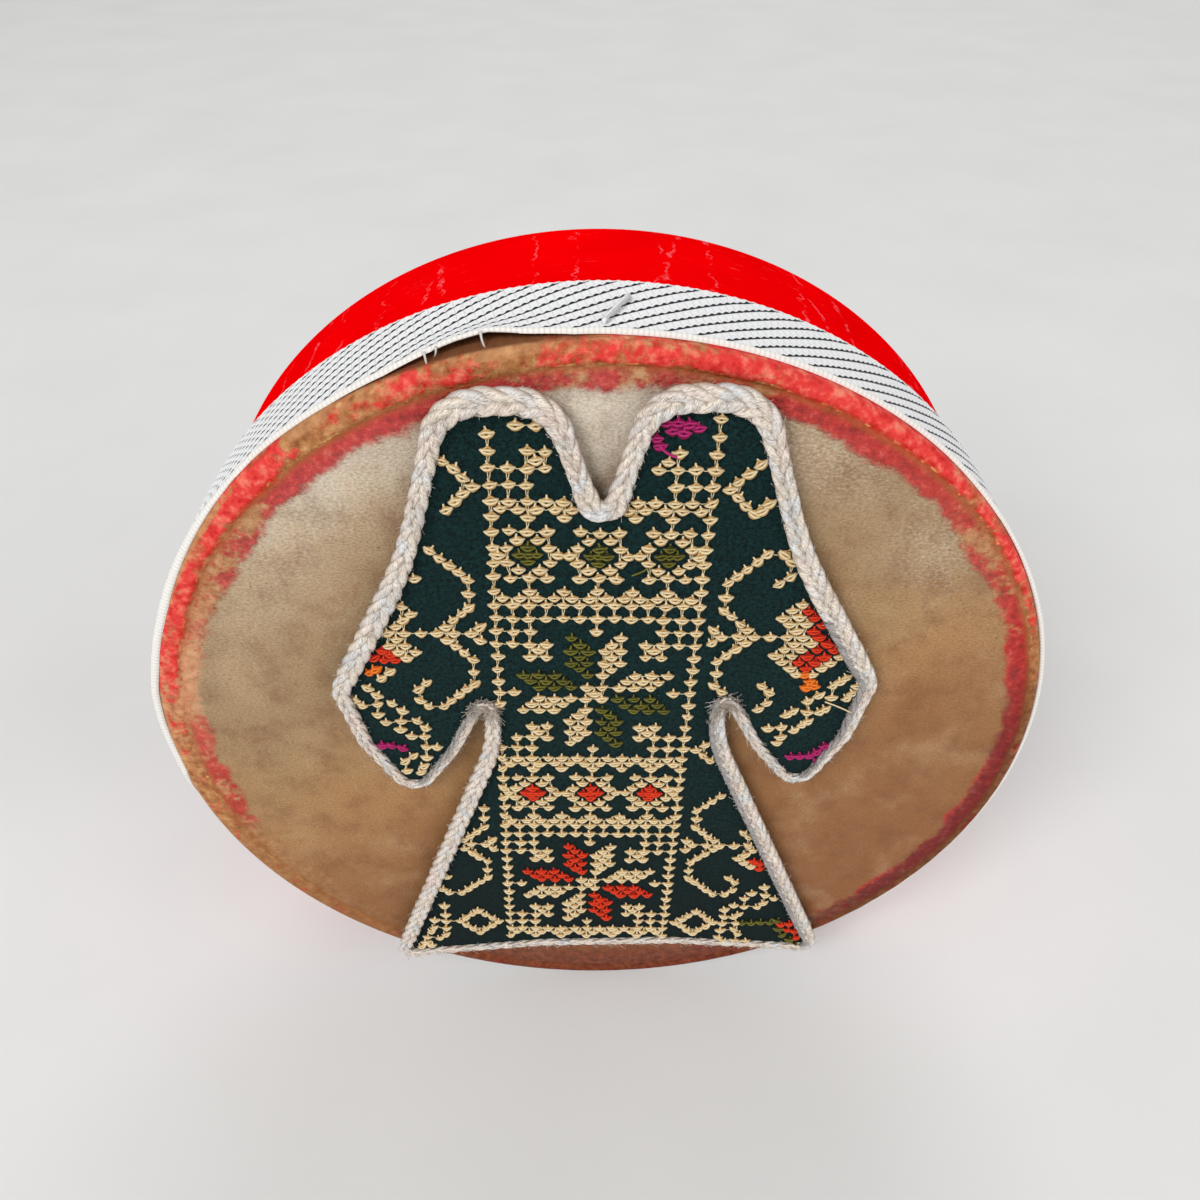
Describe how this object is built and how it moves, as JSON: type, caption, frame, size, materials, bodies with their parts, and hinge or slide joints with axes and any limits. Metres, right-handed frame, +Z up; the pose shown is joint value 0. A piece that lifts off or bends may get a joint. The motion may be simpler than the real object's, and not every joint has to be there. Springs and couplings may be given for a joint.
{
  "type": "daf frame drum",
  "caption": "Small round daf: a lacquered bent-wood hoop with a stretched goatskin head, a stapled webbing edge, a cord-edged embroidered dress on the skin and loose metal rings inside.",
  "frame": {"origin": "on the surface that the drum stands on, below the middle of its overall box", "axes": "+Z up, +Y along the drum's axis from the skin to the open rear rim, +X to the right as the skin is seen"},
  "size_m": [0.1994, 0.0644, 0.2007],
  "materials": {
    "lacquered_wood": "glossy red lacquer, scratched",
    "goatskin": "bare mottled goatskin, stained red along the rim",
    "webbing": "white woven webbing with dark diagonal dashes",
    "staple_steel": "plain wire",
    "lining": "plain stiff lining",
    "dress_cloth": "dark green cloth with raised cream, olive, orange and magenta stitching",
    "edging_cord": "off-white plaited cord",
    "eye_steel": "plain wire",
    "ring_steel": "smooth bright wire"
  },
  "bodies": {
    "drum": {"hoop": "lacquered_wood", "skin_head": "goatskin", "edge_tape": "webbing", "tape_staple_01": "staple_steel", "tape_staple_02": "staple_steel", "tape_staple_03": "staple_steel", "dress_lining": "lining", "dress_cloth": "dress_cloth", "dress_edging": "edging_cord", "ring_eye_01": "eye_steel", "ring_eye_02": "eye_steel", "ring_eye_03": "eye_steel", "ring_eye_04": "eye_steel", "ring_eye_05": "eye_steel", "ring_eye_06": "eye_steel", "ring_eye_07": "eye_steel", "ring_eye_08": "eye_steel", "ring_eye_09": "eye_steel", "ring_eye_10": "eye_steel", "ring_eye_11": "eye_steel", "ring_eye_12": "eye_steel"},
    "ring_01": {"jingle_ring_01": "ring_steel"},
    "ring_02": {"jingle_ring_02": "ring_steel"},
    "ring_03": {"jingle_ring_03": "ring_steel"},
    "ring_04": {"jingle_ring_04": "ring_steel"},
    "ring_05": {"jingle_ring_05": "ring_steel"},
    "ring_06": {"jingle_ring_06": "ring_steel"},
    "ring_07": {"jingle_ring_07": "ring_steel"},
    "ring_08": {"jingle_ring_08": "ring_steel"},
    "ring_09": {"jingle_ring_09": "ring_steel"},
    "ring_10": {"jingle_ring_10": "ring_steel"},
    "ring_11": {"jingle_ring_11": "ring_steel"},
    "ring_12": {"jingle_ring_12": "ring_steel"}
  },
  "joints": [
    {"name": "ring_01_swing", "type": "hinge", "parent": "drum", "child": "ring_01", "pos_m": [0.08366, 0.01415, 0.12212], "axis": [0, -1, 0], "range_deg": [-167.2, 17.2]},
    {"name": "ring_02_swing", "type": "hinge", "parent": "drum", "child": "ring_02", "pos_m": [0.06125, 0.01415, 0.16095], "axis": [0, -1, 0], "range_deg": [-137.2, 47.2]},
    {"name": "ring_03_swing", "type": "hinge", "parent": "drum", "child": "ring_03", "pos_m": [0.02242, 0.01415, 0.18337], "axis": [0, -1, 0], "range_deg": [-107.2, 77.2]},
    {"name": "ring_04_swing", "type": "hinge", "parent": "drum", "child": "ring_04", "pos_m": [-0.02242, 0.01415, 0.18337], "axis": [0, -1, 0], "range_deg": [-77.2, 107.2]},
    {"name": "ring_05_swing", "type": "hinge", "parent": "drum", "child": "ring_05", "pos_m": [-0.06125, 0.01415, 0.16095], "axis": [0, -1, 0], "range_deg": [-47.2, 137.2]},
    {"name": "ring_06_swing", "type": "hinge", "parent": "drum", "child": "ring_06", "pos_m": [-0.08366, 0.01415, 0.12212], "axis": [0, -1, 0], "range_deg": [-17.2, 167.2]},
    {"name": "ring_07_swing", "type": "hinge", "parent": "drum", "child": "ring_07", "pos_m": [-0.08366, 0.01415, 0.07729], "axis": [0, -1, 0], "range_deg": [0, 184.4]},
    {"name": "ring_08_swing", "type": "hinge", "parent": "drum", "child": "ring_08", "pos_m": [-0.06125, 0.01415, 0.03846], "axis": [0, -1, 0], "range_deg": [0, 184.4]},
    {"name": "ring_09_swing", "type": "hinge", "parent": "drum", "child": "ring_09", "pos_m": [-0.02242, 0.01415, 0.01604], "axis": [0, -1, 0], "range_deg": [0, 184.4]},
    {"name": "ring_10_swing", "type": "hinge", "parent": "drum", "child": "ring_10", "pos_m": [0.02242, 0.01415, 0.01604], "axis": [0, -1, 0], "range_deg": [-184.4, 0]},
    {"name": "ring_11_swing", "type": "hinge", "parent": "drum", "child": "ring_11", "pos_m": [0.06125, 0.01415, 0.03846], "axis": [0, -1, 0], "range_deg": [-184.4, 0]},
    {"name": "ring_12_swing", "type": "hinge", "parent": "drum", "child": "ring_12", "pos_m": [0.08366, 0.01415, 0.07729], "axis": [0, -1, 0], "range_deg": [-184.4, 0]}
  ]
}
